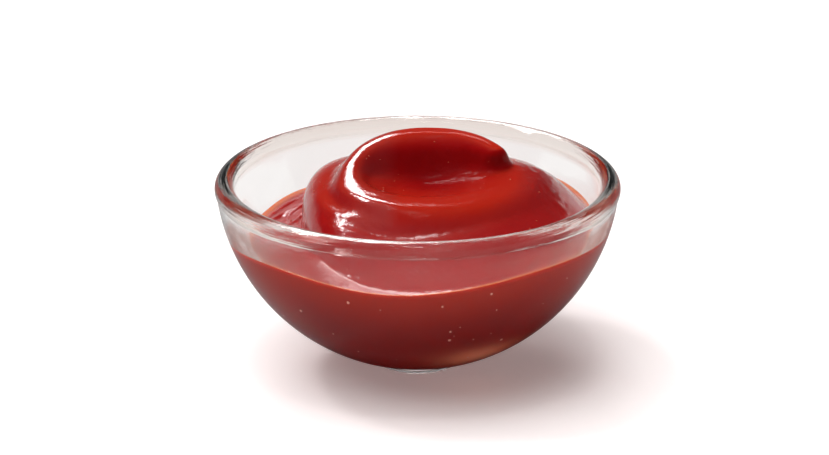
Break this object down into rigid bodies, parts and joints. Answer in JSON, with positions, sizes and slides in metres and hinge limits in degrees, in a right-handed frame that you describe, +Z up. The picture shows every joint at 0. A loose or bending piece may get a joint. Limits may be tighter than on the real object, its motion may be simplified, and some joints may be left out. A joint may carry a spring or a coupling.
{
  "type": "ketchup dipping bowl",
  "caption": "Small round clear glass bowl with a full-round lip, filled with tomato ketchup drawn up into a glossy swirl that stands above the rim.",
  "frame": {"origin": "middle of the foot, on the surface it stands on", "axes": "+Z up along the bowl's axis; -Y is the front of the swirl and +X its right, where the tip of the swirl ends"},
  "size_m": [0.06, 0.06, 0.0336],
  "materials": {
    "glass": "clear pressed soda-lime glass, smooth and glossy",
    "ketchup": null
  },
  "bodies": {
    "root": {"bowl": "glass", "ketchup": "ketchup"}
  },
  "joints": []
}
